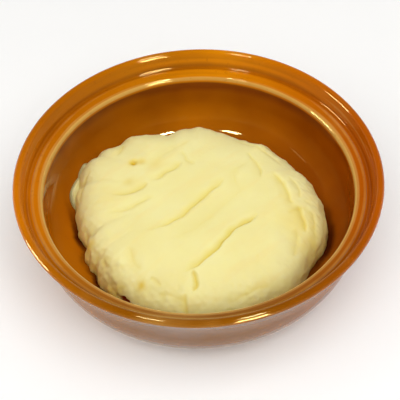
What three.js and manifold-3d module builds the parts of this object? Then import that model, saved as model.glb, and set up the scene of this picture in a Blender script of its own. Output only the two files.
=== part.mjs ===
// Mashed potato side in its own glazed stoneware bowl.
// Millimetres, +Z up. The origin is the centre of the bowl's foot, on the table, and the diner sits at -Y.
import * as THREE from 'three';
import { mergeVertices } from 'three/addons/utils/BufferGeometryUtils.js';
import Module from 'manifold-3d';

// ---- Bowl: a round casserole bowl with a ledge inside its lip for a lid ----
const RIM_RADIUS = 100;          // widest edge of the lip
const BOWL_HEIGHT = 58;          // foot to crest
const LIP_ROUND = 3.8;           // radius of the rolled lip
const LIP_FROM = -60;            // degrees round the lip: from under its outer edge to its inner face
const LIP_TO = 150;
const LIP_STEPS = 14;
const WALL_THICKNESS = 6;
const CORNER_RADIUS = 27;        // outside, where the wall turns under into the base
const WALL_RADIUS = 90.3;        // outside, widest part below the lip
const FOOT_OUTER = 59;
const FOOT_INNER = 53.5;
const FOOT_RECESS = 2.4;         // how far the base stands clear of the table inside the foot ring
const FOOT_ROUND = 0.8;
const NECK_HEIGHT = 3.4;         // where the foot ring narrows to, under the base
const BASE_HEIGHT = 3.9;         // underside outside the foot ring
const BOWL_SEGMENTS = 72;
const CORNER_STEPS = 7;
const EDGE_STEPS = 3;

// The ledge runs from a groove at the foot of the lip's inner face to a rounded inner edge. Depths
// are below the crest, and from and to are degrees round the fillet and the edge.
const groove = { radius: 90.1, depth: 8.1, fillet: 1.9, from: -10, to: -100 };
const ledgeEdge = { radius: 84.9, depth: 10.7, round: 1.7, from: 105, to: 180 };

// The outside spreads under the lip, from the wall's widest part up.
const flare = [{ out: 0.5, up: 6 }, { out: 2, up: 11.5 }, { out: 5, up: 16 }];

// ---- Mash: one mound spread over the bowl's floor with the back of a spoon ----
const MASH_RADIUS = 70;
const MASH_CROWN = 36.6;         // height of the top above the table
const MASH_HEM = 8;              // height that the steep side runs down to, just below the bowl's floor
const SIDE_FULLNESS = 4.5;       // how far out the top stays level
const SIDE_ROUNDING = 0.4;
const SEAT_GAP = 0.3;            // between the mash and the glaze
const MASH_CELLS = 50;           // cells across the mound
const EDGE_CROWDING = 0.2;       // how much narrower the cells get towards the side
const STROKE_HEADING = 40;       // degrees: the way the spoon was drawn, which the cells follow
const SIDE_START = 0.62;         // share of the way out where the top's waves give way to the side's lumps
const SIDE_WHOLE = 0.92;
const CREASE_STEPS = 14;
const CREASE_FADE_IN = 0.22;     // share of a crease's length over which it deepens
const CREASE_FADE_OUT = 0.3;
const GOLDEN_ANGLE = 2.39996;
const RIPPLE_HEADINGS = 6;
const RIPPLE_SHIFT = 1.7;
const RIPPLE_LENGTHS = { from: 0.8, to: 1.35 };   // shortest and longest ripple, of the mean length
const SKIRT_FULLNESS = 6;

// Unevenness, as the length and height of its waves.
const topWaves = { length: 46, height: 0.5 };
const sideLumps = { length: 13, height: 1.1 };
const sideCrumbs = { length: 7, height: 0.6 };
const skirtCrumbs = { length: 9, height: 1.4 };
const outlineWaves = { length: 17, height: 0.9 };
const outlineCrumbs = { length: 8, height: 0.7 };

// The side is crumbly at the left and smooth at the right. Headings are in degrees from the diner's
// side, positive towards +X.
const crumblySide = { heading: -85, halfWidth: 70 };
const SMOOTH_SIDE = 0.35;        // roughness of the smooth side, of the crumbly one's

// Places round the mound where the side stands further out or in.
const outlineSwells = [
  { heading: 55, halfWidth: 12, out: -1.2 },
  { heading: 80, halfWidth: 20, out: 2.7 },     // right side, pushed towards the wall
  { heading: 125, halfWidth: 16, out: -3 },
  { heading: 152, halfWidth: 20, out: -6 },     // back right, short of the corner
  { heading: -130, halfWidth: 26, out: 8.5 },   // back left, up on the corner
  { heading: -121, halfWidth: 8, out: 2.5 },
  { heading: -73, halfWidth: 17, out: -2.5 },
  { heading: -60, halfWidth: 9, out: -2 },
];

// A thin skirt of mash smeared up the corner of the bowl, at the left.
const skirt = { from: -98, to: -129, fade: 13, reach: 80, thickness: 5, tuck: 1.5 };

// Creases left where one spoon stroke laps over the last. The surface rolls down gently to a crease
// on the right of its direction, and the next stroke starts abruptly on its left.
const creases = [
  { path: [[36, -10], [25, -18], [15, -32], [1, -44], [-9, -51]], depth: 2.8, roll: 11, lip: 3 },
  { path: [[17, 14], [8, 4], [-7, -12], [-18, -18], [-31, -24]], depth: 2.2, roll: 11, lip: 3 },
  { path: [[-10, 26], [-15, 20], [-24, 15]], depth: 2, roll: 9, lip: 2.7 },
  { path: [[-28, 11], [-34, 6], [-46, 3]], depth: 2.2, roll: 9, lip: 2.7 },
  { path: [[-24, 2], [-35, -4], [-53, -4]], depth: 1, roll: 6, lip: 2.6 },
  { path: [[14, 16], [3, 22], [-9, 36]], depth: 1.4, roll: 8, lip: 4 },
  { path: [[36, 18], [33, 24], [29, 33]], depth: 1.2, roll: 5, lip: 3 },
  { path: [[53, -3], [50, 8], [43, 19]], depth: 1.1, roll: 5, lip: 3 },
  { path: [[56, -28], [58, -17], [56, -6]], depth: 1.5, roll: 5, lip: 3 },
  { path: [[32, -54], [22, -59], [12, -64]], depth: 1, roll: 5, lip: 3 },
  { path: [[-10, -56], [-9, -62], [-8, -68]], depth: 2.2, roll: 12, lip: 2 },
  { path: [[-1, -47], [1, -54], [-5, -60]], depth: 2.4, roll: 4, lip: 2.6 },
  { path: [[-44, 31], [-46, 40], [-46, 54]], depth: 2.2, roll: 7, lip: 2.4 },
];

// Hollows (down) and lumps (up) that stand alone on the surface.
const dabs = [
  { x: -36, y: 29, width: 3.2, up: -3.4 },      // deep pit at the back left
  { x: 48, y: -19, width: 9, up: -1.8 },        // long hollow on the right
  { x: -36, y: -37, width: 5, up: -1.8 },
  { x: -22, y: -52, width: 4, up: -1.2 },
  { x: 31, y: -43, width: 3.4, up: -0.9 },
  { x: 24, y: -49, width: 3.4, up: -0.8 },
  { x: 43, y: -40, width: 4, up: -0.8 },
  { x: -54, y: -32, width: 6, up: 2.2 },        // lumps over the gap at the front left
  { x: -45, y: -38, width: 6, up: 2.6 },
  { x: -24, y: -60, width: 9, up: -3 },         // low apron in front
  { x: 38, y: 42, width: 5.5, up: 3 },          // lump at the back right
];

// The gap left under those lumps, open to the side.
const gap = { x: -44, y: -55.5, z: 14.5, halfWidth: 5.5, halfHeight: 8 };
const GAP_SEGMENTS = 20;

const wasm = await Module();
wasm.setup();

const radians = THREE.MathUtils.degToRad;

/** Points along an arc in the profile plane, from one angle to another. */
function arc(centreR, centreZ, radius, fromDegrees, toDegrees, steps) {
  const points = [];
  for (let i = 0; i <= steps; i += 1) {
    const angle = radians(THREE.MathUtils.lerp(fromDegrees, toDegrees, i / steps));
    points.push(new THREE.Vector2(centreR + radius * Math.cos(angle), centreZ + radius * Math.sin(angle)));
  }
  return points;
}

/** The corner of the bowl, whose centre the outside, the inside and the mash's underside share. */
const corner = { r: WALL_RADIUS - CORNER_RADIUS, z: BASE_HEIGHT + CORNER_RADIUS };

/** The bowl's inside from the wall down to the middle of the floor, moved into the hollow by inset. */
function hollowProfile(inset) {
  const radius = CORNER_RADIUS - WALL_THICKNESS - inset;
  return [
    ...arc(corner.r, corner.z, radius, 0, -90, CORNER_STEPS),
    new THREE.Vector2(0, corner.z - radius),
  ];
}

/** Turn a profile of (radius, height) points round the Z axis. */
function turned(profile, segments) {
  const geometry = new THREE.LatheGeometry(profile, segments);
  geometry.rotateX(Math.PI / 2);
  return geometry;
}

function footProfile() {
  return [
    new THREE.Vector2(0, FOOT_RECESS),
    new THREE.Vector2(FOOT_INNER - FOOT_RECESS, FOOT_RECESS),
    new THREE.Vector2(FOOT_INNER, 0),
    new THREE.Vector2(FOOT_OUTER - FOOT_ROUND, 0),
    new THREE.Vector2(FOOT_OUTER, FOOT_ROUND),
    new THREE.Vector2(FOOT_OUTER + FOOT_ROUND, NECK_HEIGHT),
  ];
}

function outsideProfile() {
  const lipCentre = { r: RIM_RADIUS - LIP_ROUND, z: BOWL_HEIGHT - LIP_ROUND };
  return [
    ...arc(corner.r, corner.z, CORNER_RADIUS, -90, 0, CORNER_STEPS),
    ...flare.map(({ out, up }) => new THREE.Vector2(WALL_RADIUS + out, corner.z + up)),
    ...arc(lipCentre.r, lipCentre.z, LIP_ROUND, LIP_FROM, LIP_TO, LIP_STEPS),
  ];
}

function ledgeProfile() {
  const filletZ = BOWL_HEIGHT - groove.depth + groove.fillet;
  const edgeR = ledgeEdge.radius + ledgeEdge.round;
  const edgeZ = BOWL_HEIGHT - ledgeEdge.depth;
  return [
    ...arc(groove.radius, filletZ, groove.fillet, groove.from, groove.to, EDGE_STEPS),
    ...arc(edgeR, edgeZ, ledgeEdge.round, ledgeEdge.from, ledgeEdge.to, EDGE_STEPS),
  ];
}

function bowlGeometry() {
  const profile = [...footProfile(), ...outsideProfile(), ...ledgeProfile(), ...hollowProfile(0)];
  return turned(profile, BOWL_SEGMENTS);
}

/** 0 below the first value, 1 above the second, smooth between them. */
function ramp(from, to, value) {
  return THREE.MathUtils.smoothstep((value - from) / (to - from), 0, 1);
}

/** Smooth, uneven waves of one length and height: straight ripples that cross at six headings. */
function ripples(x, y, { length, height }) {
  let sum = 0;
  for (let k = 0; k < RIPPLE_HEADINGS; k += 1) {
    const along = x * Math.cos(k * GOLDEN_ANGLE) + y * Math.sin(k * GOLDEN_ANGLE);
    const { from, to } = RIPPLE_LENGTHS;
    const stretch = THREE.MathUtils.lerp(from, to, k / (RIPPLE_HEADINGS - 1));
    sum += Math.sin(along * 2 * Math.PI / (length * stretch) + RIPPLE_SHIFT * k);
  }
  return height * sum / Math.sqrt(2 * RIPPLE_HEADINGS);
}

/** How far a heading is from the middle of a swell: 1 there, falling to 0 both ways. */
function within(heading, { heading: middle, halfWidth }) {
  const turn = THREE.MathUtils.euclideanModulo(heading - middle + 180, 360) - 180;
  return Math.exp(-((turn / halfWidth) ** 2));
}

/** How rough the side is at a heading. */
function roughness(heading) {
  return THREE.MathUtils.lerp(SMOOTH_SIDE, 1, within(heading, crumblySide));
}

/** Where the mound's side meets the bowl, at a heading. */
function moundRadius(heading) {
  let radius = MASH_RADIUS;
  for (const swell of outlineSwells) radius += swell.out * within(heading, swell);
  const x = MASH_RADIUS * Math.sin(radians(heading));
  const y = -MASH_RADIUS * Math.cos(radians(heading));
  return radius + roughness(heading) * (ripples(x, y, outlineWaves) + ripples(y, x, outlineCrumbs));
}

/** 1 where the skirt is whole, falling to 0 past its two ends. */
function skirtPresence(heading) {
  return ramp(skirt.to - skirt.fade, skirt.to + skirt.fade, heading)
    * (1 - ramp(skirt.from - skirt.fade, skirt.from + skirt.fade, heading));
}

/** How far out the mash reaches at a heading, skirt and all. */
function mashReach(heading) {
  const mound = moundRadius(heading);
  return Math.max(mound, THREE.MathUtils.lerp(mound, skirt.reach, skirtPresence(heading)));
}

/** Height of the bowl's inside at a radius. */
function hollowHeight(radius) {
  const cornerRadius = CORNER_RADIUS - WALL_THICKNESS;
  const beyond = Math.min(Math.max(radius - corner.r, 0), cornerRadius);
  return corner.z - Math.sqrt(cornerRadius ** 2 - beyond ** 2);
}

for (const crease of creases) {
  const spline = new THREE.SplineCurve(crease.path.map(([x, y]) => new THREE.Vector2(x, y)));
  crease.line = spline.getPoints(CREASE_STEPS);
}

/** The nearest place on a crease to a point: how far off, on which side, and how far along. */
function nearestOnCrease(crease, x, y) {
  let nearest = { distance: Infinity };
  for (let i = 0; i < CREASE_STEPS; i += 1) {
    const start = crease.line[i];
    const run = crease.line[i + 1].clone().sub(start);
    const offset = new THREE.Vector2(x, y).sub(start);
    const share = THREE.MathUtils.clamp(offset.dot(run) / run.lengthSq(), 0, 1);
    const left = run.cross(offset) > 0;
    const distance = offset.addScaledVector(run, -share).length();
    if (distance < nearest.distance) nearest = { distance, left, along: (i + share) / CREASE_STEPS };
  }
  return nearest;
}

/** How deep one crease cuts the surface at a point. */
function creaseDepth(crease, x, y) {
  const { distance, left, along } = nearestOnCrease(crease, x, y);
  const reach = left ? crease.lip : crease.roll;
  const nearness = Math.max(1 - distance / reach, 0);
  const taper = ramp(0, CREASE_FADE_IN, along) * ramp(0, CREASE_FADE_OUT, 1 - along);
  return crease.depth * taper * nearness ** 2;
}

/** Height of the skirt's surface, which follows the corner of the bowl and thins to nothing. */
function skirtHeight(x, y, radius, heading) {
  const presence = skirtPresence(heading);
  const reach = mashReach(heading);
  if (presence === 0 || radius >= reach) return MASH_HEM;
  const thinning = Math.sqrt(1 - (radius / reach) ** SKIRT_FULLNESS);
  const lift = (skirt.thickness + ripples(x, y, skirtCrumbs)) * presence * thinning;
  return hollowHeight(radius) + lift - skirt.tuck * (1 - presence);
}

/** Height of the mash's own surface at a point of the plan. */
function mashHeight(x, y) {
  const radius = Math.hypot(x, y);
  const heading = THREE.MathUtils.radToDeg(Math.atan2(x, -y));
  const share = Math.min(radius / moundRadius(heading), 1);
  const level = (1 - share ** SIDE_FULLNESS) ** SIDE_ROUNDING;
  let height = THREE.MathUtils.lerp(MASH_HEM, MASH_CROWN, level);

  const side = ramp(SIDE_START, SIDE_WHOLE, share);
  height += (1 - side) * ripples(x, y, topWaves);
  height += side * level * roughness(heading) * (ripples(x, y, sideLumps) + ripples(y, x, sideCrumbs));
  for (const crease of creases) height -= creaseDepth(crease, x, y);
  for (const dab of dabs) {
    const away = Math.hypot(x - dab.x, y - dab.y) / dab.width;
    height += dab.up * level * Math.exp(-away * away);
  }
  return Math.max(height, skirtHeight(x, y, radius, heading));
}

/** A point of the mound's plan for cell corner (i, j): a square of cells drawn out to a disc. */
function planPoint(i, j) {
  const u = 2 * i / MASH_CELLS - 1;
  const v = 2 * j / MASH_CELLS - 1;
  const disc = new THREE.Vector2(u * Math.sqrt(1 - v * v / 2), v * Math.sqrt(1 - u * u / 2));
  const share = disc.length();
  disc.multiplyScalar(1 + EDGE_CROWDING * (1 - share * share));
  disc.rotateAround(new THREE.Vector2(), radians(STROKE_HEADING));
  const heading = THREE.MathUtils.radToDeg(Math.atan2(disc.x, -disc.y));
  return disc.multiplyScalar(mashReach(heading));
}

/** The mound as a block: its worked surface above, a wall straight down and a flat base. */
function mashBlock() {
  const base = 0;
  const row = MASH_CELLS + 1;
  const positions = [];
  for (let j = 0; j < row; j += 1) {
    for (let i = 0; i < row; i += 1) {
      const { x, y } = planPoint(i, j);
      positions.push(x, y, mashHeight(x, y));
    }
  }
  const faces = [];
  const corners = (i, j) => [j * row + i, j * row + i + 1, (j + 1) * row + i + 1, (j + 1) * row + i];
  for (let j = 0; j < MASH_CELLS; j += 1) {
    for (let i = 0; i < MASH_CELLS; i += 1) {
      const [a, b, c, d] = corners(i, j);
      const upDiagonal = (2 * i < MASH_CELLS) === (2 * j < MASH_CELLS);
      if (upDiagonal) faces.push(a, b, d, b, c, d);
      else faces.push(a, b, c, a, c, d);
    }
  }
  const border = [];
  for (let i = 0; i < MASH_CELLS; i += 1) border.push(i);
  for (let j = 0; j < MASH_CELLS; j += 1) border.push(j * row + MASH_CELLS);
  for (let i = MASH_CELLS; i > 0; i -= 1) border.push(MASH_CELLS * row + i);
  for (let j = MASH_CELLS; j > 0; j -= 1) border.push(j * row);
  const firstBelow = row * row;
  for (const index of border) positions.push(positions[3 * index], positions[3 * index + 1], base);
  const middle = firstBelow + border.length;
  positions.push(0, 0, base);
  border.forEach((top, k) => {
    const next = (k + 1) % border.length;
    const below = firstBelow + k;
    const nextBelow = firstBelow + next;
    faces.push(top, below, nextBelow, top, nextBelow, border[next]);
    faces.push(below, middle, nextBelow);
  });
  const geometry = new THREE.BufferGeometry();
  geometry.setAttribute('position', new THREE.Float32BufferAttribute(positions, 3));
  geometry.setIndex(faces);
  return geometry;
}

/** The space that the mash may fill: the bowl's hollow, a little smaller all round. */
function hollowBlock() {
  const wall = hollowProfile(SEAT_GAP);
  const lid = new THREE.Vector2(0, BOWL_HEIGHT);
  const top = new THREE.Vector2(wall[0].x, BOWL_HEIGHT);
  return turned([...wall.reverse(), top, lid], BOWL_SEGMENTS);
}

/** The rounded gap under the lumps. */
function gapBlock() {
  const ball = new THREE.SphereGeometry(1, GAP_SEGMENTS, GAP_SEGMENTS / 2);
  ball.scale(gap.halfWidth, gap.halfHeight, gap.halfWidth);
  ball.rotateX(Math.PI / 2);
  return ball.translate(gap.x, gap.y, gap.z);
}

function solid(geometry) {
  const bare = geometry.clone();
  bare.deleteAttribute('normal');
  bare.deleteAttribute('uv');
  const merged = mergeVertices(bare, 1e-4);
  const vertProperties = new Float32Array(merged.attributes.position.array);
  const triVerts = new Uint32Array(merged.index.array);
  return new wasm.Manifold(new wasm.Mesh({ numProp: 3, vertProperties, triVerts }));
}

function geometryOf(manifold) {
  const { vertProperties, triVerts } = manifold.getMesh();
  const geometry = new THREE.BufferGeometry();
  geometry.setAttribute('position', new THREE.BufferAttribute(new Float32Array(vertProperties), 3));
  geometry.setIndex(new THREE.BufferAttribute(new Uint32Array(triVerts), 1));
  geometry.computeVertexNormals();
  return geometry;
}

function makeBowl() {
  const glaze = new THREE.MeshStandardMaterial({ color: 0xb5640d, roughness: 0.12, metalness: 0 });
  const mesh = new THREE.Mesh(bowlGeometry(), glaze);
  mesh.name = 'bowl';
  return mesh;
}

function makeMash() {
  const potato = new THREE.MeshStandardMaterial({ color: 0xefe097, roughness: 0.62, metalness: 0 });
  const seated = solid(mashBlock()).intersect(solid(hollowBlock()));
  const mesh = new THREE.Mesh(geometryOf(seated.subtract(solid(gapBlock()))), potato);
  mesh.name = 'mash';
  return mesh;
}

const part = new THREE.Group();
part.add(makeBowl(), makeMash());

export default part;
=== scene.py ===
import math

import bmesh
import bpy
import numpy as np
from mathutils import Matrix, Vector
from mathutils.geometry import interpolate_bezier


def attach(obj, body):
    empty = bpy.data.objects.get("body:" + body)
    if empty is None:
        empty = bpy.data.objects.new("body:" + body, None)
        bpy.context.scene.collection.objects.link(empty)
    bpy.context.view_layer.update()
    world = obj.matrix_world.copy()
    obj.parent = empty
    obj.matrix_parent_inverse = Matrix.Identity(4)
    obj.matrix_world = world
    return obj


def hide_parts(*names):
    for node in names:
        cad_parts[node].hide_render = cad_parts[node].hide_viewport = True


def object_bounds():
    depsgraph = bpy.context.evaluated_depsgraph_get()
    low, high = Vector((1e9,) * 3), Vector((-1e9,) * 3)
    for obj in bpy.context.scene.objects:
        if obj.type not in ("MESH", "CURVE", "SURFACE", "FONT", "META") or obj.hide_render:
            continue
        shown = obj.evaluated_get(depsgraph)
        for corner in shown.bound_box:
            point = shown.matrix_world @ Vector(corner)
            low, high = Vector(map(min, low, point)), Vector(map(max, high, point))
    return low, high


# A mashed potato side in its glazed stoneware bowl. Meshes are drawn in millimetres and scaled to
# metres when they are whole. +Z is up, the origin is the centre of the bowl's foot, and the diner
# sits at -Y. A heading is in degrees from the diner's side, positive towards +X.
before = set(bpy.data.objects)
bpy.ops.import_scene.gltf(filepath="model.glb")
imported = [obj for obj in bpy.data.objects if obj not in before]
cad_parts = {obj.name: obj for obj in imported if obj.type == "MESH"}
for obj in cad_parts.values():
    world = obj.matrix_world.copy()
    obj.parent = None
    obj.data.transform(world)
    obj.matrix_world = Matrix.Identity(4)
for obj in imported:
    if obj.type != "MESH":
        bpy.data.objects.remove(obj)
cad_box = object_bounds()
MM = 0.001
HAIR = 0.0005                    # keeps the outermost points just inside the box
MERGE_DISTANCE = 1e-4

# ---- Bowl ----
RIM_RADIUS = cad_box[1].x / MM - HAIR
BOWL_HEIGHT = cad_box[1].z / MM - HAIR
LIP_ROUND = 2.3
LIP_FROM = -60                   # degrees round the lip, from under its outer edge to its inner face
LIP_TURN = (120, 125)            # where its fine steps end, and its coarse ones begin
LIP_TO = 166
WALL_THICKNESS = 6
WALL_RADIUS = 90.3
CORNER_RADIUS = 27
FOOT_OUTER = 59
FOOT_INNER = 53.5
FOOT_RECESS = 2.4
FOOT_ROUND = 0.8
NECK_HEIGHT = 3.4
BASE_HEIGHT = 3.9
GROOVE = {"radius": 92.3, "depth": 9.5, "round": 1.2, "from": -15, "to": -108}
LEDGE_BEAD = {"radius": 90.3, "depth": 9.1, "round": 2.2, "from": 66, "to": 100}
LEDGE_EDGE = {"radius": 85.1, "depth": 12.3, "round": 2.2, "from": 98, "turns": (118, 130), "to": 180}
FLARE_PULL = (8, 5)              # how far the flare keeps the wall's direction, and the lip's
FLARE_STEPS = 14
FLARE_THINS = (0.35, 0.9)        # where the glaze starts to run thin under the lip, and is thin
WALL_SPREAD = (0.4, 0.2)         # how far the inside's wall stands out, under the ledge and lower down
SHARP_CORNER = 38                # degrees, above which an edge is drawn sharp
SPIN_STEPS = 180
OUTWARD = 0.3                    # how far a face of the outside turns outwards or down
CORNER = {"r": WALL_RADIUS - CORNER_RADIUS, "z": BASE_HEIGHT + CORNER_RADIUS}
HOLLOW_RADIUS = CORNER_RADIUS - WALL_THICKNESS
LIP_UNDERSIDE = BOWL_HEIGHT - LIP_ROUND * 1.66

# How the glaze lies: thin on the edges, where the clay shows through, and thick in the hollows. These
# tones also paint light and shade: highlights on the edges, lit and shaded bands on the lip's slope,
# and shade in the groove, under the ledge and down the wall.
THIN, EVEN, THICK = -1.0, 0.0, 1.0
LIP_GLAZE = THIN * 0.08
SLOPE_GLAZE = (                  # share of the way down the lip's inner slope, and the glaze there
    (0.25, THICK * 0.05),
    (0.5, THIN * 0.3),
    (0.7, THICK * 0.08),
    (0.9, THICK * 0.4),
)
GROOVE_GLAZE = THICK * 0.34
BEAD_GLAZE = THIN * 0.35
DIP_GLAZE = THIN * 0.1
LEDGE_GLAZE = THIN * 0.5
WALL_GLAZE = THICK * 0.53
CORNER_GLAZE = THICK * 0.44
FLOOR_GLAZE = THICK * 0.31

# Colours of the glaze, and how its tone changes round the bowl, much of it painted light and shade.
# Distances here are in metres.
GLAZE_INSIDE = (0.53, 0.175, 0.001)
# The thick tone, also painted shade in the groove, under the ledge and down the wall.
GLAZE_THICK_AND_SHADED = (0.17, 0.030, 0.0004)
# Painted shade, where the mash's shadow falls on the inside.
GLAZE_PAINTED_SHADE = (0.06, 0.006, 0.0003)
GLAZE_OUTSIDE = (0.42, 0.165, 0.004)
# The thin tones, also a painted highlight on the inside's edges and a painted reflection of the pale
# table under the lip outside.
GLAZE_THIN_AND_LIT_INSIDE = (0.64, 0.36, 0.085)
GLAZE_THIN_OUTSIDE_AND_REFLECTED = (0.28, 0.22, 0.19)
GLAZE_FLECK = (0.30, 0.07, 0.002)
GLINT_TINT = (1.0, 0.7, 0.2, 1.0)
CLAY_DARK = (0.42, 0.29, 0.19)
CLAY_PALE = (0.55, 0.42, 0.30)
PAINTED_SIDE_LIGHT_AND_SHADE = (                # painted light and shade, lighter or darker towards a heading as light falls: heading, where it starts and is whole, what is left of each part
    (0, 0.03, 0.09, (0.48, 0.44, 1.0)),
    (180, 0.05, 0.1, (1.28, 1.26, 1.0)),
    (-90, 0.03, 0.1, (1.14, 0.94, 0.5)),
    (90, 0.02, 0.09, (0.83, 0.50, 0.4)),
    (-138, 0.06, 0.095, (0.70, 0.66, 0.7)),
)
# The glaze's tone is made thinner towards the front.
THINNER_AT_FRONT = {"heading": 0, "from": -0.03, "to": 0.09, "thinner": -0.28}
PAINTED_SHADE_CORE = 0.35              # share of the painted shade's breadth where it is darkest
PAINTED_CREVICE_SHADES = (                     # painted shade beside the mash, where its shadow falls: heading, half width and breadth of each place
    (76, 24, 5.2),
    (-86, 14, 4.6),
    (-58, 9, 3.6),
)

# ---- Mash ----
MASH_RADIUS = 70
MASH_CROWN = 36.6
MASH_HEM = 8
SIDE_FULLNESS = 4.5
SIDE_ROUNDING = 0.4
SEAT_GAP = 0.3
MASH_CELLS = 300
RADIUS_TABLE = (720, 400)        # headings, and steps down the surface
SEATED_FROM = 0.97               # share of the way out where the surface turns down to its seat
SEAT_RINGS = (0.97, 0.95, 0.93, 0.9)    # each ring underneath, as a share of the one outside it
STROKE_HEADING = 40
SIDE_START = 0.74
SIDE_WHOLE = 0.92
STEEP_SIDE = (0.1, 0.7)          # how far from upright the surface's normal is
CREASE_STEPS = 24
CREASE_FADE_IN = 0.22
CREASE_FADE_OUT = 0.3
GOLDEN_ANGLE = 2.39996
RIPPLE_HEADINGS = 6
RIPPLE_SHIFT = 1.7
RIPPLE_LENGTHS = (0.8, 1.35)
SKIRT_FULLNESS = 6
CREASE_TONE = 2.2                # a crease of this depth has the whole of the fold colour, partly painted shade
STEEP_TONE = 0.3                 # share of the fold colour on the steep side, as painted shade
SIDE_TONE = 0.2                  # and at the foot of the side, as painted shade
SIDE_TONE_FROM = 22              # the height below which that starts
SKIRT_TONE = 0.12                # and on the skirt, as painted shade
SKIRT_TONE_FROM = 0.96           # the share of the mound's radius beyond which that starts

# Unevenness, as the length and height of its waves.
TOP_WAVES = (46, 0.6)
SIDE_LUMPS = (13, 0.4)
SIDE_CRUMBS = (7, 0.25)
SKIRT_CRUMBS = (9, 1.4)
OUTLINE_WAVES = (17, 0.9)
OUTLINE_CRUMBS = (8, 0.7)
FACE_LUMPS = (12, 0.65)          # across the side's own face
FACE_CRUMBS = (5, 0.3)
SPOON_WAVES = (18, 0.21)         # over the top
SHOULDER_CRUMBS = (5, 0.22)      # where the top turns down
WAVER = (9, 0.5)                 # along the creases, in plan

# Heading and half width of the part with a crumbly outline, and of the part with a lumpy face,
# with the share of the crumbs and lumps that is left elsewhere.
CRUMBLY_SIDE = (-100, 85, 0.55)
LUMPY_FACE = (-56, 26, 0.5)
OUTLINE_SWELLS = (               # heading, half width, how far out
    (55, 12, -0.4),
    (80, 20, 2.7),
    (125, 16, -3),
    (152, 18, -5.4),
    (161, 7, -0.8),
    (-78, 4, -2.4),
    (-70, 4, 0.6),
    (-92, 6, 0.5),
    (-84, 6, -1.2),
    (178, 4, 1.3),
    (-164, 7, -4.2),
    (-147, 4, 1.6),
    (-138, 4, -1.6),
    (142, 4, 1.6),
    (108, 4, 1.4),
    (-130, 26, 8.5),
    (-121, 8, 2.5),
    (-73, 17, -2.5),
    (-60, 9, -2),
    (45, 12, 1.4),
    (62, 10, -2),
    (-45, 7, -1),
)
SKIRT = {"from": -103, "to": -132, "fade": 9, "reach": 79.0, "thickness": 7.5, "tuck": 1.5}

# Creases where one spoon stroke laps over the last: path, depth, then how far the surface rolls
# down to it on its right and how far the next stroke takes to rise on its left.
CREASES = (
    (((15, 15), (10, 8), (3, 1), (-6, -9), (-12, -15), (-20, -19), (-32, -22)), 1.35, 5, 1.8),
    (((33, -12), (27, -17), (19, -22), (9, -35), (-2, -45), (-11, -49)), 2.0, 4.6, 1.4),
    (((-5, -47), (-3, -52), (-3, -56), (-6, -59)), 1.7, 2.4, 1.6),
    (((-8, 28), (-15, 22), (-20, 18), (-27, 14)), 1.1, 5, 2.2),
    (((-28, 13), (-34, 8), (-40, 6), (-49, 6)), 1.2, 4.5, 2),
    (((-24, 3), (-33, -2), (-39, -5), (-53, -5)), 0.65, 4, 2.4),
    (((-9, 38), (-6, 30), (-2, 25)), 0.5, 4, 2.5),
    (((29, 36), (34, 24), (36, 13)), 0.7, 4, 2),
    (((41, 20), (46, 13), (49, 6), (50, -2), (54, -5)), 1.1, 7, 2.6),
    (((52, 18), (56, 8), (56, 0)), 0.6, 4, 2.2),
    (((48, -11), (55, -7), (61, -4)), 0.45, 4, 3),
    (((54, -4), (57, -14), (58, -22)), 1.2, 7, 2.6),
    (((53, -20), (52, -30), (49, -39)), 0.6, 5, 3),
    (((62, -6), (63, -18), (60, -32)), 0.6, 4, 3),
    (((20, 50), (38, 38), (50, 26)), 0.5, 4, 3),
    (((36, -53), (29, -57), (20, -61), (10, -64)), 0.6, 4, 2.5),
    (((-24, -57), (-16, -60), (-8, -63)), 0.5, 4, 2.5),
    (((-9, -60), (-9, -65), (-8, -69)), 1.1, 4, 1.6),
    (((-38, -30), (-36, -40), (-31, -47)), 0.6, 6, 4),
    (((-27, -50), (-21, -54)), 0.6, 3, 2),
    (((-43, 50), (-44, 44), (-47, 38)), 0.9, 4, 3),
    (((-62, 32), (-66, 22), (-69, 10)), 0.9, 3, 2),
    (((27, 8), (12, -7), (-3, -22), (-22, -32)), 0.35, 9, 5),
    (((30, 28), (20, 18), (24, 2)), 0.3, 8, 5),
    (((-2, 48), (-20, 34), (-30, 20)), 0.35, 8, 5),
)

# Hollows and lumps that stand alone: x, y, width, and how far up.
DABS = (
    (-36.5, 30, 1.8, -2.2),
    (-32, 30, 2.2, -0.6),
    (48, -19, 9, -1.6),
    (-36, -37, 5, -1.2),
    (31, -43, 3.4, -0.5),
    (24, -49, 3.4, -0.5),
    (43, -40, 4, -0.4),
    (50, 10, 3, 0.8),
    (45, 17, 3, 0.5),
    (-54, -32, 6, 2.2),
    (-45, -38, 6, 2.4),
    (-44, -48, 4, 1.4),
    (-63, -11, 3.5, 1.4),
    (-60, -29, 3.5, 1.4),
    (-64, -21, 2.4, -2.5),
    (-24, -60, 9, -3),
    (38, 42, 5.5, 3),
)
GAP = {"centre": (-41.8, -57.0, 14.0), "half_width": 7.0, "half_height": 7.2}
GAP_CRUMBS = (5, 1.3)
GAP_SHADED = -0.35               # how deep inside the gap its shade is whole
# Painted shade at the foot of the mash's right side.
PAINTED_FOOT_SHADE = {"heading": (80, 18), "heights": (19, 9), "share": 0.5}

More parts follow.
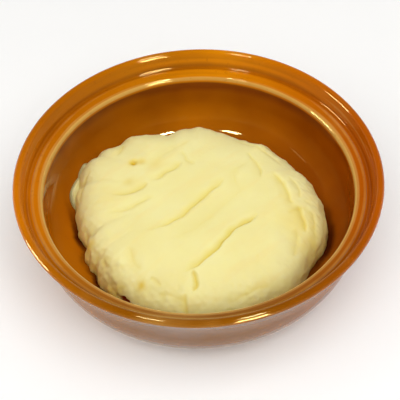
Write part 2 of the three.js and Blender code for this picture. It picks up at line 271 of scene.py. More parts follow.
# Deeper yellow and browner places, partly butter and partly painted shade in pits and under lumps: x,
# y, width, and how strong.
BUTTER_AND_SHADE_SPOTS = (
    (-37, 30, 2.4, 1),
    (-32, 30, 2.6, 0.5),
    (-39, 15, 3.2, 0.35),
    (-23, 27, 5, 0.15),
    (-47, 6, 5, 0.15),
    (-53, 12, 4, 0.12),
    (-61, -21, 2.4, 0.7),
    (-45, -51, 4, 0.45),
    (-50, -48, 3, 0.4),
    (-32, -53, 2.4, 0.8),
    (-52, -35, 3, 0.3),
    (50, -17, 8, 0.24),
    (58, -12, 8, 0.16),
    (61, -27, 8, 0.2),
)
POTATO_PLAIN = (0.84, 0.765, 0.345)
POTATO_PALE = (0.86, 0.80, 0.385)
POTATO_SMEAR = (0.86, 0.70, 0.27)
# Fold colour, partly painted shade in creases and on steep sides.
POTATO_FOLD_COLOUR_AND_SHADE = (0.76, 0.61, 0.09)
# Butter colour, partly painted shade in pits and under lumps.
POTATO_BUTTER_AND_SHADE = (0.74, 0.53, 0.04)
POTATO_SHADED = (0.34, 0.06, 0.004)

# ---- Camera and light ----
CAMERA_AIM = Vector((0.6, -20.4, BOWL_HEIGHT)) * MM
CAMERA_DISTANCE = 0.6
CAMERA_ELEVATION = 49
CAMERA_ROLL = 2.07
CAMERA_LENS = 102.47
CAMERA_NEAR = 0.01
TABLE_SIZE = 4000
TABLE_GREY = (0.96, 0.96, 0.955)
TABLE_WHITE = (0.98, 0.98, 0.975)
ROOM_WALLS = (0.80, 0.80, 0.79)
ROOM_CEILING = (0.08, 0.08, 0.08)
WALLS_FADE = (0.05, 0.55)        # how far up the walls turn into the ceiling
WARM_WHITE = (1.0, 0.99, 0.97)
COOL_WHITE = (0.45, 0.62, 1.0)
GLINT_DISTANCE = 1.5
GLINT_LAMPS = (                  # name, direction from the bowl, size, watts, colour
    ("glint_front", (0.40, -0.91, 0.105), (0.42, 0.16), 45, WARM_WHITE),
    ("glint_side", (-0.99, 0.035, 0.139), (0.50, 0.20), 22, WARM_WHITE),
    ("glint_left", (-0.84, -0.05, 0.55), (0.35, 0.08), 0.2, WARM_WHITE),
    ("glint_corner", (-0.28, -0.32, 0.90), (0.22, 0.14), 12, COOL_WHITE),
    ("glint_corner_left", (0.26, -0.32, 0.91), (0.24, 0.15), 22, COOL_WHITE),
)
SOFT_DISTANCE = 2.2
SOFT_LAMPS = (
    ("soft_overhead", (0.0, -0.1, 0.99), (6.0, 6.0), 39, WARM_WHITE),
    ("soft_front", (0.12, -0.40, 0.91), (2.2, 2.2), 34, WARM_WHITE),
    ("soft_back", (0.1, 0.8, 0.6), (2.4, 1.6), 4, WARM_WHITE),
    ("soft_left", (-0.6, -0.35, 0.72), (2.0, 1.2), 9, WARM_WHITE),
    ("soft_right", (0.5, -0.3, 0.81), (2.0, 1.2), 4, WARM_WHITE),
)


# ---- Shared making ----
def finished(name, bm, materials):
    """Merge and scale a drawn mesh, turn its faces outwards and make it an object."""
    bmesh.ops.remove_doubles(bm, verts=bm.verts, dist=MERGE_DISTANCE)
    bmesh.ops.recalc_face_normals(bm, faces=bm.faces)
    bmesh.ops.scale(bm, vec=(MM, MM, MM), verts=bm.verts)
    for face in bm.faces:
        face.smooth = True
    mesh = bpy.data.meshes.new(name)
    bm.to_mesh(mesh)
    bm.free()
    for material in materials:
        mesh.materials.append(material)
    piece = bpy.data.objects.new(name, mesh)
    bpy.context.collection.objects.link(piece)
    return piece


def put_in_frame(piece, node):
    """Stand the piece in for its node, on the one body that there is."""
    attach(piece, "root")
    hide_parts(node)


def ramp(start, end, value):
    """0 below start, 1 above end, smooth between them."""
    share = np.clip((value - start) / (end - start), 0, 1)
    return share * share * (3 - 2 * share)


def mixed(a, b, share):
    return a + (b - a) * share


# ---- Materials ----
def add(tree, kind, inputs=None, **settings):
    """A new node with its input values and settings."""
    made = tree.nodes.new(kind)
    for name, value in settings.items():
        setattr(made, name, value)
    for name, value in (inputs or {}).items():
        made.inputs[name].default_value = value
    return made


def new_material(name, shader_values):
    material = bpy.data.materials.new(name)
    material.use_nodes = True
    tree = material.node_tree
    shader = tree.nodes["Principled BSDF"]
    for socket, value in shader_values.items():
        shader.inputs[socket].default_value = value
    return material, tree, shader


def noise_on(tree, scale, detail=2.0, stretch=None, turn=0.0):
    """Noise on the object's own coordinates, drawn out along one way if stretch is given."""
    coordinates = add(tree, "ShaderNodeTexCoord").outputs["Object"]
    noise = add(tree, "ShaderNodeTexNoise", {"Scale": scale, "Detail": detail})
    if stretch:
        placing = {"Rotation": (0, 0, turn), "Scale": stretch}
        mapping = add(tree, "ShaderNodeMapping", placing, vector_type="TEXTURE")
        tree.links.new(coordinates, mapping.inputs["Vector"])
        coordinates = mapping.outputs["Vector"]
    tree.links.new(coordinates, noise.inputs["Vector"])
    return noise.outputs["Fac"]


def spread(tree, value, low, high, to_low=0.0, to_high=1.0):
    """Take a value from one range to another, held at both ends."""
    inputs = {"From Min": low, "From Max": high, "To Min": to_low, "To Max": to_high}
    made = add(tree, "ShaderNodeMapRange", inputs)
    tree.links.new(value, made.inputs["Value"])
    return made.outputs["Result"]


def blend(tree, share, first, second, way="MIX"):
    """Mix two colours, each given as numbers or as a node's output."""
    made = add(tree, "ShaderNodeMix", data_type="RGBA", blend_type=way)
    tree.links.new(share, made.inputs["Factor"])
    for socket, colour in (("A", first), ("B", second)):
        slot = next(s for s in made.inputs if s.name == socket and s.type == "RGBA")
        if isinstance(colour, tuple):
            slot.default_value = (*colour, 1)
        else:
            tree.links.new(colour, slot)
    return next(s for s in made.outputs if s.type == "RGBA")


def sum_of(tree, first, second):
    made = add(tree, "ShaderNodeMath", operation="ADD")
    tree.links.new(first, made.inputs[0])
    tree.links.new(second, made.inputs[1])
    return made.outputs[0]


def attribute(tree, name):
    return add(tree, "ShaderNodeAttribute", attribute_name=name).outputs["Fac"]


def bump(tree, shader, height, strength, depth):
    made = add(tree, "ShaderNodeBump", {"Strength": strength, "Distance": depth})
    tree.links.new(height, made.inputs["Height"])
    tree.links.new(made.outputs["Normal"], shader.inputs["Normal"])


def towards(tree, heading, start, end):
    """0 at the start and 1 at the end, as the distance from the middle grows towards a heading."""
    way = math.radians(heading)
    reach = add(tree, "ShaderNodeVectorMath", operation="DOT_PRODUCT")
    reach.inputs[1].default_value = (math.sin(way), -math.cos(way), 0)
    tree.links.new(add(tree, "ShaderNodeTexCoord").outputs["Object"], reach.inputs[0])
    return spread(tree, reach.outputs["Value"], start, end)


def amber_glaze(name, body, thin_tone, shader_values):
    """Glaze, thin and golden on edges and dark in hollows, these tones partly painted highlight and
    shade. Painted light and shade lighten or darken it towards some headings and beside the mash, and
    its tone is thinner towards the front.
    """
    material, tree, shader = new_material(name, shader_values)
    drift = spread(tree, noise_on(tree, scale=16, detail=3), 0.3, 0.7, -0.25, 0.25)
    front = towards(tree, THINNER_AT_FRONT["heading"], THINNER_AT_FRONT["from"], THINNER_AT_FRONT["to"])
    front_thinning = spread(tree, front, 0, 1, 0, THINNER_AT_FRONT["thinner"])
    thickness = sum_of(tree, sum_of(tree, attribute(tree, "glaze"), drift), front_thinning)
    colour = blend(tree, spread(tree, thickness, 0.0, 1.0), body, GLAZE_THICK_AND_SHADED)
    for heading, start, end, left_over in PAINTED_SIDE_LIGHT_AND_SHADE:
        colour = blend(tree, towards(tree, heading, start, end), colour, left_over, "MULTIPLY")
    colour = blend(tree, spread(tree, thickness, -0.3, -1.0), colour, thin_tone)
    # Painted shade beside the mash, where its shadow falls on the glaze.
    colour = blend(tree, attribute(tree, "painted_crevice_shade"), colour, GLAZE_PAINTED_SHADE)
    fleck = spread(tree, noise_on(tree, scale=420, detail=2), 0.62, 0.75, 0.0, 0.25)
    colour = blend(tree, fleck, colour, GLAZE_FLECK)
    tree.links.new(colour, shader.inputs["Base Color"])
    gloss = spread(tree, noise_on(tree, scale=60, detail=2), 0.3, 0.7, 0.03, 0.07)
    tree.links.new(gloss, shader.inputs["Roughness"])
    bump(tree, shader, noise_on(tree, scale=45, detail=1), strength=0.35, depth=0.0004)
    return material


def bare_clay():
    """Unglazed clay, where the foot ring was wiped."""
    material, tree, shader = new_material("bare_clay", {"Roughness": 0.85})
    grain = spread(tree, noise_on(tree, scale=900, detail=4), 0.35, 0.65)
    colour = blend(tree, grain, CLAY_DARK, CLAY_PALE)
    tree.links.new(colour, shader.inputs["Base Color"])
    bump(tree, shader, grain, strength=0.4, depth=0.0002)
    return material


def potato():
    """Smooth potato, deeper in colour in its folds and where butter lies, partly as painted shade, with
    painted shade on its steep sides, in its gap and at the foot of its right side.
    """
    values = {
        "Subsurface Weight": 0.7,
        "Subsurface Radius": (0.75, 0.75, 1.0),
        "Subsurface Scale": 0.01,
        "IOR": 1.4,
        "Specular IOR Level": 0.06,
    }
    material, tree, shader = new_material("potato", values)
    cloud = spread(tree, noise_on(tree, scale=38, detail=3), 0.35, 0.65)
    colour = blend(tree, cloud, POTATO_PLAIN, POTATO_PALE)
    stroke = {"stretch": (4.0, 1.0, 1.0), "turn": math.radians(STROKE_HEADING)}
    smear = noise_on(tree, scale=130, detail=3, **stroke)
    colour = blend(tree, spread(tree, smear, 0.5, 0.75, 0.0, 0.35), colour, POTATO_SMEAR)
    colour = blend(tree, attribute(tree, "fold_colour_and_shade"), colour, POTATO_FOLD_COLOUR_AND_SHADE)
    colour = blend(tree, attribute(tree, "butter_and_shade"), colour, POTATO_BUTTER_AND_SHADE)
    # Painted shade in the gap and at the foot of the right side.
    colour = blend(tree, attribute(tree, "painted_mash_shade"), colour, POTATO_SHADED)
    tree.links.new(colour, shader.inputs["Base Color"])
    wetness = spread(tree, noise_on(tree, scale=90, detail=2), 0.35, 0.65, 0.42, 0.6)
    tree.links.new(wetness, shader.inputs["Roughness"])
    fine = noise_on(tree, scale=420, detail=4)
    bump(tree, shader, sum_of(tree, fine, smear), strength=0.3, depth=0.0003)
    return material


def pale_table():
    material, tree, shader = new_material("pale_table", {"Roughness": 0.55})
    cloud = spread(tree, noise_on(tree, scale=3, detail=2), 0.3, 0.7)
    colour = blend(tree, cloud, TABLE_GREY, TABLE_WHITE)
    tree.links.new(colour, shader.inputs["Base Color"])
    return material


# ---- Bowl ----
def arc(centre, radius, from_degrees, to_degrees, steps, glaze):
    """Profile points (radius, height, glaze) along an arc."""
    points = []
    for degrees in np.linspace(from_degrees, to_degrees, steps + 1):
        angle = math.radians(degrees)
        out, up = radius * math.cos(angle), radius * math.sin(angle)
        points.append((centre[0] + out, centre[1] + up, glaze))
    return points


def between(first, second, share, glaze):
    """A point part of the way along a straight stretch of the profile."""
    return (mixed(first[0], second[0], share), mixed(first[1], second[1], share), glaze)


def foot_profile():
    return [
        (0, FOOT_RECESS, EVEN),
        (FOOT_INNER - FOOT_RECESS, FOOT_RECESS, EVEN),
        (FOOT_INNER, 0, THIN),
        (FOOT_OUTER - FOOT_ROUND, 0, THIN),
        (FOOT_OUTER, FOOT_ROUND, THIN),
        (FOOT_OUTER + FOOT_ROUND, NECK_HEIGHT, THICK),
    ]


def flare_profile(lip_start):
    """The outside's spread, from the wall's widest part to under the lip."""
    angle = math.radians(LIP_FROM + 90)
    start = Vector((WALL_RADIUS, CORNER["z"]))
    end = Vector(lip_start[:2])
    keep_wall = start + Vector((0, FLARE_PULL[0]))
    keep_lip = end - Vector((math.cos(angle), math.sin(angle))) * FLARE_PULL[1]
    curve = interpolate_bezier(start, keep_wall, keep_lip, end, FLARE_STEPS)
    shares = np.linspace(0, 1, len(curve))
    return [
        (point.x, point.y, THIN * float(ramp(*FLARE_THINS, share)))
        for point, share in zip(curve[1:-1], shares[1:-1])
    ]


def outside_profile():
    """The rounded corner above the foot, the flare and the lip."""
    corner = arc((CORNER["r"], CORNER["z"]), CORNER_RADIUS, -90, 0, 18, EVEN)
    lip_centre = (RIM_RADIUS - LIP_ROUND, BOWL_HEIGHT - LIP_ROUND)
    outer_lip = arc(lip_centre, LIP_ROUND, LIP_FROM, LIP_TURN[0], 36, LIP_GLAZE)
    inner_lip = arc(lip_centre, LIP_ROUND, LIP_TURN[1], LIP_TO, 6, LIP_GLAZE)
    return [*corner, *flare_profile(outer_lip[0]), *outer_lip, *inner_lip]


def groove_profile():
    """The lip's inner slope, and the groove at its foot."""
    centre = (GROOVE["radius"], BOWL_HEIGHT - GROOVE["depth"] + GROOVE["round"])
    groove = arc(centre, GROOVE["round"], GROOVE["from"], GROOVE["to"], 9, GROOVE_GLAZE)
    lip_end = outside_profile()[-1]
    slope = [between(lip_end, groove[0], share, glaze) for share, glaze in SLOPE_GLAZE]
    return [*slope, *groove]


def ledge_profile():
    """The ledge with its low bead, and its rounded edge."""
    bead_centre = (LEDGE_BEAD["radius"], BOWL_HEIGHT - LEDGE_BEAD["depth"] - LEDGE_BEAD["round"])
    bead = arc(bead_centre, LEDGE_BEAD["round"], LEDGE_BEAD["from"], LEDGE_BEAD["to"], 5, BEAD_GLAZE)
    centre = (LEDGE_EDGE["radius"] + LEDGE_EDGE["round"], BOWL_HEIGHT - LEDGE_EDGE["depth"])
    turn_start, turn_end = LEDGE_EDGE["turns"]
    ledge = arc(centre, LEDGE_EDGE["round"], LEDGE_EDGE["from"], turn_start, 2, LEDGE_GLAZE)
    edge = arc(centre, LEDGE_EDGE["round"], turn_end, LEDGE_EDGE["to"], 5, THIN)
    dip = [between(bead[-1], ledge[0], share, DIP_GLAZE) for share in (0.3, 0.7)]
    return [*bead, *dip, *ledge, *edge]


def hollow_profile():
    """The inside's wall, its rounded corner and the floor."""
    wall_r = CORNER["r"] + HOLLOW_RADIUS
    edge_z = BOWL_HEIGHT - LEDGE_EDGE["depth"]
    return [
        (wall_r + WALL_SPREAD[0], edge_z - 2, THICK),
        (wall_r + WALL_SPREAD[1], mixed(CORNER["z"], edge_z, 0.4), WALL_GLAZE),
        *arc((CORNER["r"], CORNER["z"]), HOLLOW_RADIUS, 0, -90, 30, CORNER_GLAZE),
        (0, CORNER["z"] - HOLLOW_RADIUS, FLOOR_GLAZE),
    ]


def spun_bowl():
    """The whole profile turned round, with the glaze's thickness on its corners."""
    profile = [
        *foot_profile(), *outside_profile(), *groove_profile(), *ledge_profile(), *hollow_profile(),
    ]
    bm = bmesh.new()
    glaze = bm.verts.layers.float.new("glaze")
    bm.verts.layers.float.new("painted_crevice_shade")
    line = []
    for radius, height, thickness in profile:
        vert = bm.verts.new((radius, 0, height))
        vert[glaze] = thickness
        line.append(vert)
    edges = [bm.edges.new(pair) for pair in zip(line, line[1:])]
    bmesh.ops.spin(
        bm, geom=line + edges, cent=(0, 0, 0), axis=(0, 0, 1), dvec=(0, 0, 0),
        angle=2 * math.pi, steps=SPIN_STEPS, use_merge=True, use_duplicate=False,
    )
    return bm


def painted_shade_share(radius, heading):
    """How deep a place inside the bowl lies in the painted shade beside the mash, where the mash's
    shadow falls.
    """
    away = radius - mash_reach(heading)
    shares = [
        within(heading, middle, half_width) * (1 - ramp(PAINTED_SHADE_CORE * breadth, breadth, away))
        for middle, half_width, breadth in PAINTED_CREVICE_SHADES
    ]
    return float(max(shares))


def paint_crevice_shade(bm):
    """Paint shade on the inside's corner where the mash's shadow falls beside it."""
    painted_crevice_shade = bm.verts.layers.float["painted_crevice_shade"]
    for vert in bm.verts:
        if vert.co.z < CORNER["z"]:
            heading = math.degrees(math.atan2(vert.co.x, -vert.co.y))
            vert[painted_crevice_shade] = painted_shade_share(vert.co.xy.length, heading)


def choose_finishes(bm):
    """The inside is 0, the outside up to under the lip is 1, and the wiped foot ring is 2."""
    bmesh.ops.recalc_face_normals(bm, faces=bm.faces)
    for face in bm.faces:
        middle = face.calc_center_median()
        outward = face.normal.xy.dot(middle.xy.normalized())
        if middle.xy.length > FOOT_INNER and middle.z < FOOT_ROUND:
            face.material_index = 2
        elif face.normal.z < -OUTWARD or (outward > OUTWARD and middle.z < LIP_UNDERSIDE):
            face.material_index = 1


def make_bowl():
    bm = spun_bowl()
    paint_crevice_shade(bm)
    choose_finishes(bm)
    inside_values = {"IOR": 1.52, "Specular Tint": GLINT_TINT}
    inside = amber_glaze("glaze_inside", GLAZE_INSIDE, GLAZE_THIN_AND_LIT_INSIDE, inside_values)
    outside = amber_glaze("glaze_outside", GLAZE_OUTSIDE, GLAZE_THIN_OUTSIDE_AND_REFLECTED, {"IOR": 1.55})
    bowl = finished("bowl_glazed", bm, (inside, outside, bare_clay()))
    bowl.data.set_sharp_from_angle(angle=math.radians(SHARP_CORNER))
    put_in_frame(bowl, "bowl")


# ---- Mash ----
def ripples(x, y, waves):
    """Smooth, uneven waves of one length and height: straight ripples that cross at six headings."""
    length, height = waves
    total = 0
    for k in range(RIPPLE_HEADINGS):
        along = x * math.cos(k * GOLDEN_ANGLE) + y * math.sin(k * GOLDEN_ANGLE)
        stretch = mixed(*RIPPLE_LENGTHS, k / (RIPPLE_HEADINGS - 1))
        total = total + np.sin(along * 2 * math.pi / (length * stretch) + RIPPLE_SHIFT * k)
    return height * total / math.sqrt(2 * RIPPLE_HEADINGS)


def within(heading, middle, half_width):
    """How far a heading is from the middle of a swell: 1 there, falling to 0 both ways."""
    turn = np.mod(heading - middle + 180, 360) - 180
    return np.exp(-((turn / half_width) ** 2))


def roughness(heading, part):
    middle, half_width, elsewhere = part
    return mixed(elsewhere, 1, within(heading, middle, half_width))


def mound_radius(heading):
    """Where the mound's side meets the bowl."""
    radius = MASH_RADIUS
    for middle, half_width, out in OUTLINE_SWELLS:
        radius = radius + out * within(heading, middle, half_width)
    x = MASH_RADIUS * np.sin(np.radians(heading))
    y = -MASH_RADIUS * np.cos(np.radians(heading))
    waves = ripples(x, y, OUTLINE_WAVES) + ripples(y, x, OUTLINE_CRUMBS)
    return radius + roughness(heading, CRUMBLY_SIDE) * waves


def skirt_presence(heading):
    start, end, fade = SKIRT["from"], SKIRT["to"], SKIRT["fade"]
    return ramp(end - fade, end + fade, heading) * (1 - ramp(start - fade, start + fade, heading))


def mash_reach(heading):
    """How far out the mash reaches, skirt and all."""
    mound = mound_radius(heading)
    return np.maximum(mound, mixed(mound, SKIRT["reach"], skirt_presence(heading)))


def seat_height(radius):
    """Height of the mash's underside, just clear of the bowl's inside."""
    inset = HOLLOW_RADIUS - SEAT_GAP
    beyond = np.clip(radius - CORNER["r"], 0, inset)
    return CORNER["z"] - np.sqrt(inset ** 2 - beyond ** 2)


def mound_level(radius, heading):
    """1 on top of the mound, falling to 0 at the foot of its side."""
    share = np.minimum(radius / mound_radius(heading), 1)
    return (1 - share ** SIDE_FULLNESS) ** SIDE_ROUNDING


def skirt_height(x, y, radius, heading):
    presence = skirt_presence(heading)
    share = np.minimum(radius / mash_reach(heading), 1)
    thinning = np.sqrt(1 - share ** SKIRT_FULLNESS)
    lift = (SKIRT["thickness"] + ripples(x, y, SKIRT_CRUMBS)) * presence * thinning
    height = seat_height(radius) - SEAT_GAP + lift - SKIRT["tuck"] * (1 - presence)
    return np.where(presence > 0, height, MASH_HEM)


def place(radius, heading):
    return radius * np.sin(np.radians(heading)), -radius * np.cos(np.radians(heading))


def body_height(radius, heading):
    """Height of the mound and skirt before the spoon's marks."""
    x, y = place(radius, heading)
    mound = mixed(MASH_HEM, MASH_CROWN, mound_level(radius, heading))
    return np.maximum(mound, skirt_height(x, y, radius, heading))


def radius_table(rows, columns):
    """Radii at even steps along the surface, from the crown down to the seat, for every heading."""
    headings = np.linspace(-180, 180, rows + 1)[:, None]
    shares = np.linspace(0, 1, 3 * columns)[None, :]
    radii = shares * mash_reach(headings)
    heights = body_height(radii, headings)
    seated = (heights <= seat_height(radii)) | (shares == 1)
    last = np.argmax(seated, axis=1)[:, None]
    radii = np.minimum(radii, np.take_along_axis(radii, last, axis=1))
    heights = body_height(radii, headings)
    steps = np.hypot(np.diff(radii), np.diff(heights))
    along = np.concatenate([np.zeros((rows + 1, 1)), np.cumsum(steps, axis=1)], axis=1)
    along /= along[:, -1:]
    even = np.linspace(0, 1, columns + 1)
    return np.array([np.interp(even, line, row) for line, row in zip(along, radii)])


def even_radius(table, heading, share):
    """Look a radius up in the table, between its rows and columns."""
    rows, columns = table.shape[0] - 1, table.shape[1] - 1
    row = (heading + 180) / 360 * rows
    column = share * columns
    i = np.clip(row.astype(int), 0, rows - 1)
    j = np.clip(column.astype(int), 0, columns - 1)
    before = mixed(table[i, j], table[i, j + 1], column - j)
    after = mixed(table[i + 1, j], table[i + 1, j + 1], column - j)
    return mixed(before, after, row - i)


def spline(points, steps):
    """A smooth line through the points."""
    points = np.array(points, float)
    ends = np.vstack([points[:1], points, points[-1:]])
    line = []
    for t in np.linspace(0, len(points) - 1, steps + 1):
        i = min(int(t), len(points) - 2)
        w = t - i
        a, b, c, d = ends[i:i + 4]
        line.append((2 * b + (c - a) * w + (2 * a - 5 * b + 4 * c - d) * w ** 2
                     + (3 * b - a - 3 * c + d) * w ** 3) / 2)
    return np.array(line)


def crease_depth(crease, x, y):
    """How deep one crease cuts the surface. Its line wavers a little."""
    path, depth, roll, lip = crease
    x, y = x + ripples(x, y, WAVER), y + ripples(y, x, WAVER)
    line = spline(path, CREASE_STEPS)
    distance = np.full(x.shape, np.inf)
    left = np.zeros(x.shape, bool)
    along = np.zeros(x.shape)
    for i, (start, run) in enumerate(zip(line, np.diff(line, axis=0))):
        dx, dy = x - start[0], y - start[1]
        share = np.clip((dx * run[0] + dy * run[1]) / (run @ run), 0, 1)
        away = np.hypot(dx - share * run[0], dy - share * run[1])
        nearer = away < distance
        distance = np.where(nearer, away, distance)
        left = np.where(nearer, run[0] * dy - run[1] * dx > 0, left)
        along = np.where(nearer, (i + share) / CREASE_STEPS, along)
    nearness = np.maximum(1 - distance / np.where(left, lip, roll), 0)
    taper = ramp(0, CREASE_FADE_IN, along) * ramp(0, CREASE_FADE_OUT, 1 - along)
    return depth * taper * nearness ** 2


def bell(x, y, spot_x, spot_y, width):
    return np.exp(-((x - spot_x) ** 2 + (y - spot_y) ** 2) / width ** 2)


def spoon_marks(x, y, level):
    """Depth of the creases and hollows, and height of the lumps."""
    creased = sum(crease_depth(crease, x, y) for crease in CREASES)
    dabbed = sum(up * bell(x, y, dab_x, dab_y, width) for dab_x, dab_y, width, up in DABS)
    return creased, dabbed * level


def worked_height(x, y, radius, heading):
    """Height of the mash's surface, and how folded it is there."""
    level = mound_level(radius, heading)
    share = np.minimum(radius / mound_radius(heading), 1)
    side = ramp(SIDE_START, SIDE_WHOLE, share)
    creased, dabbed = spoon_marks(x, y, level)
    height = mixed(MASH_HEM, MASH_CROWN, level) - creased + dabbed
    height += (1 - side) * (ripples(x, y, TOP_WAVES) + ripples(y, x, SPOON_WAVES))
    crumbs = ripples(x, y, SIDE_LUMPS) + ripples(y, x, SIDE_CRUMBS)
    height += side * level * roughness(heading, LUMPY_FACE) * crumbs
    height += side * level * ripples(x + y, x - y, SHOULDER_CRUMBS)
    return np.maximum(height, skirt_height(x, y, radius, heading)), creased


def hollowed_gap(points):
    """Push the side in round the gap under the lumps. Also gives how far inside it each point was,
    which sets the gap's painted shade.
    """
    centre = np.array(GAP["centre"], float)
    size = np.array((GAP["half_width"], GAP["half_width"], GAP["half_height"]))
    inwards = -centre * (1, 1, 0)
    inwards /= np.linalg.norm(inwards)
    x, y, z = points.T
    uneven = np.stack([ripples(*plane, GAP_CRUMBS) for plane in ((x, z), (z, y), (y, x))], axis=1)
    offset = (points + uneven - centre) / size
    way = inwards / size
    # The push is the root of a quadratic: where the way inwards leaves the rounded gap.
    a = way @ way
    b = offset @ way
    c = (offset ** 2).sum(axis=1) - 1
    inside = c < 0
    push = np.where(inside, (-b + np.sqrt(np.maximum(b * b - a * c, 0))) / a, 0)
    return points + push[:, None] * inwards, ramp(0, GAP_SHADED, c)


def plan_of_cells(u, v):
    """Turn places on a square of cells into headings and shares of the way out over a disc."""
    x = u * np.sqrt(1 - v * v / 2)
    y = v * np.sqrt(1 - u * u / 2)
    turn = math.radians(STROKE_HEADING)
    x, y = x * math.cos(turn) - y * math.sin(turn), x * math.sin(turn) + y * math.cos(turn)
    return np.degrees(np.arctan2(x, -y)), np.minimum(np.hypot(x, y), 1)


def place_corners(bm, points):
    for vert, point in zip(bm.verts, points):
        vert.co = point


def drawn_out(bm):
    """Draw the flat cells out over the mound, with the spoon's marks, and seat the outermost."""
    cells = np.array([vert.co for vert in bm.verts])
    heading, share = plan_of_cells(cells[:, 0], cells[:, 1])
    radius = even_radius(radius_table(*RADIUS_TABLE), heading, share)
    x, y = place(radius, heading)
    height, creased = worked_height(x, y, radius, heading)
    inner = 1 - ramp(SEATED_FROM, 1, share)
    height = mixed(seat_height(radius), np.maximum(height, seat_height(radius)), inner)
    points = np.stack([x, y, height], axis=1)
    place_corners(bm, points)
    return points, heading, radius, inner, creased


def roughened(bm, points, heading, radius, inner):
    """Push the steep side in and out, and carve its gap. Gives how steep each corner is, and its
    painted shade in the gap.
    """
    bm.normal_update()
    normals = np.array([vert.normal for vert in bm.verts])
    steepness = ramp(*STEEP_SIDE, 1 - np.abs(normals[:, 2]))
    face_x, face_y = place(radius + MASH_CROWN - points[:, 2], heading)
    lumps = ripples(face_x, face_y, FACE_LUMPS) + ripples(face_y, face_x, FACE_CRUMBS)
    push = steepness * roughness(heading, LUMPY_FACE) * inner * lumps
    points, painted_mash_shade = hollowed_gap(points + normals * push[:, None])
    points[:, 2] = np.maximum(points[:, 2], seat_height(np.hypot(points[:, 0], points[:, 1])))
    place_corners(bm, points)
    return points[:, 2], steepness, painted_mash_shade


def shaped_top(bm):
    """Shape the mound from flat cells. Gives each corner's fold colour and butter colour, both partly
    painted shade, and its painted shade in the gap and at the foot.
    """
    points, heading, radius, inner, creased = drawn_out(bm)
    height, steepness, painted_mash_shade = roughened(bm, points, heading, radius, inner)
    fold_colour_and_shade = creased / CREASE_TONE + STEEP_TONE * steepness
    fold_colour_and_shade = fold_colour_and_shade + SIDE_TONE * ramp(SIDE_TONE_FROM, MASH_HEM, height)
    fold_colour_and_shade = fold_colour_and_shade + SKIRT_TONE * ramp(SKIRT_TONE_FROM, 1, radius / mound_radius(heading))
    x, y = points[:, 0], points[:, 1]
    butter_and_shade = sum(strength * bell(x, y, *spot) for *spot, strength in BUTTER_AND_SHADE_SPOTS)
    # Painted shade at the foot of the right side.
    foot = within(heading, *PAINTED_FOOT_SHADE["heading"]) * ramp(*PAINTED_FOOT_SHADE["heights"], height)
    return np.clip(fold_colour_and_shade, 0, 1), np.clip(butter_and_shade, 0, 1), np.maximum(painted_mash_shade, PAINTED_FOOT_SHADE["share"] * foot)


def close_underneath(bm):
    """Carry the edge inwards over the seat and close it in the middle."""
    rim = [edge for edge in bm.edges if edge.is_boundary]
    for inwards in SEAT_RINGS:
        drawn = bmesh.ops.extrude_edge_only(bm, edges=rim)["geom"]
        for vert in (item for item in drawn if isinstance(item, bmesh.types.BMVert)):
            vert.co.x *= inwards
            vert.co.y *= inwards
            vert.co.z = float(seat_height(vert.co.xy.length))
        rim = [item for item in drawn if isinstance(item, bmesh.types.BMEdge)]
    drawn = bmesh.ops.extrude_edge_only(bm, edges=rim)["geom"]
    middle = [item for item in drawn if isinstance(item, bmesh.types.BMVert)]
    bmesh.ops.pointmerge(bm, verts=middle, merge_co=(0, 0, float(seat_height(0.0))))


def make_mash():
    bm = bmesh.new()
    bmesh.ops.create_grid(bm, x_segments=MASH_CELLS, y_segments=MASH_CELLS, size=1)
    layers = [bm.verts.layers.float.new(name) for name in ("fold_colour_and_shade", "butter_and_shade", "painted_mash_shade")]
    for layer, values in zip(layers, shaped_top(bm)):
        for vert, value in zip(bm.verts, values):
            vert[layer] = value
    close_underneath(bm)
    mash = finished("mash_spread", bm, (potato(),))
    put_in_frame(mash, "mash")


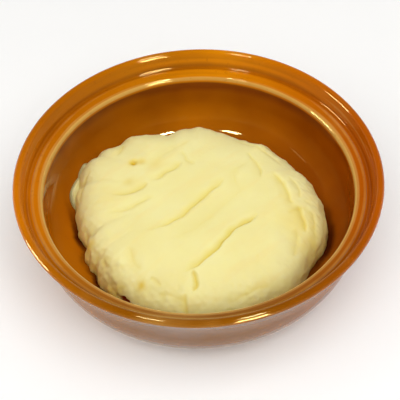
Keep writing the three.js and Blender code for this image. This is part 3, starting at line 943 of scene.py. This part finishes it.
# ---- Stage ----
def make_table():
    bm = bmesh.new()
    bmesh.ops.create_grid(bm, x_segments=1, y_segments=1, size=TABLE_SIZE)
    table = finished("table_top", bm, (pale_table(),))


def make_camera():
    camera = bpy.data.objects.new("camera", bpy.data.cameras.new("camera"))
    camera.data.lens = CAMERA_LENS
    camera.data.clip_start = CAMERA_NEAR
    tilt = Matrix.Rotation(math.radians(90 - CAMERA_ELEVATION), 4, "X")
    roll = Matrix.Rotation(math.radians(-CAMERA_ROLL), 4, "Z")
    back = tilt @ Vector((0, 0, CAMERA_DISTANCE))
    camera.matrix_world = Matrix.Translation(CAMERA_AIM + back) @ tilt @ roll
    bpy.context.collection.objects.link(camera)
    bpy.context.scene.camera = camera


def add_lamp(name, direction, size, watts, colour, distance, glint):
    """A rectangular lamp that faces the bowl and either leaves a glint or gives soft light."""
    lamp = bpy.data.objects.new(name, bpy.data.lights.new(name, "AREA"))
    lamp.data.shape = "RECTANGLE"
    lamp.data.size, lamp.data.size_y = size
    lamp.data.energy = watts
    lamp.data.color = colour
    way = Vector(direction).normalized()
    lamp.location = Vector((0, 0, BOWL_HEIGHT * MM)) + way * distance
    lamp.rotation_euler = way.to_track_quat("Z", "Y").to_euler()
    lamp.visible_glossy = glint
    lamp.visible_diffuse = not glint
    bpy.context.collection.objects.link(lamp)


def make_light():
    for lamp in GLINT_LAMPS:
        add_lamp(*lamp, GLINT_DISTANCE, True)
    for lamp in SOFT_LAMPS:
        add_lamp(*lamp, SOFT_DISTANCE, False)


def make_surroundings():
    """Pale walls near the horizon under a dark ceiling."""
    world = bpy.data.worlds.new("room")
    world.use_nodes = True
    tree = world.node_tree
    height = add(tree, "ShaderNodeSeparateXYZ")
    tree.links.new(add(tree, "ShaderNodeTexCoord").outputs["Generated"], height.inputs["Vector"])
    share = spread(tree, height.outputs["Z"], *WALLS_FADE)
    colour = blend(tree, share, ROOM_WALLS, ROOM_CEILING)
    tree.links.new(colour, tree.nodes["Background"].inputs["Color"])
    bpy.context.scene.world = world
    bpy.context.scene.view_settings.view_transform = "Standard"


make_bowl()
make_mash()
make_table()
make_camera()
make_light()
make_surroundings()
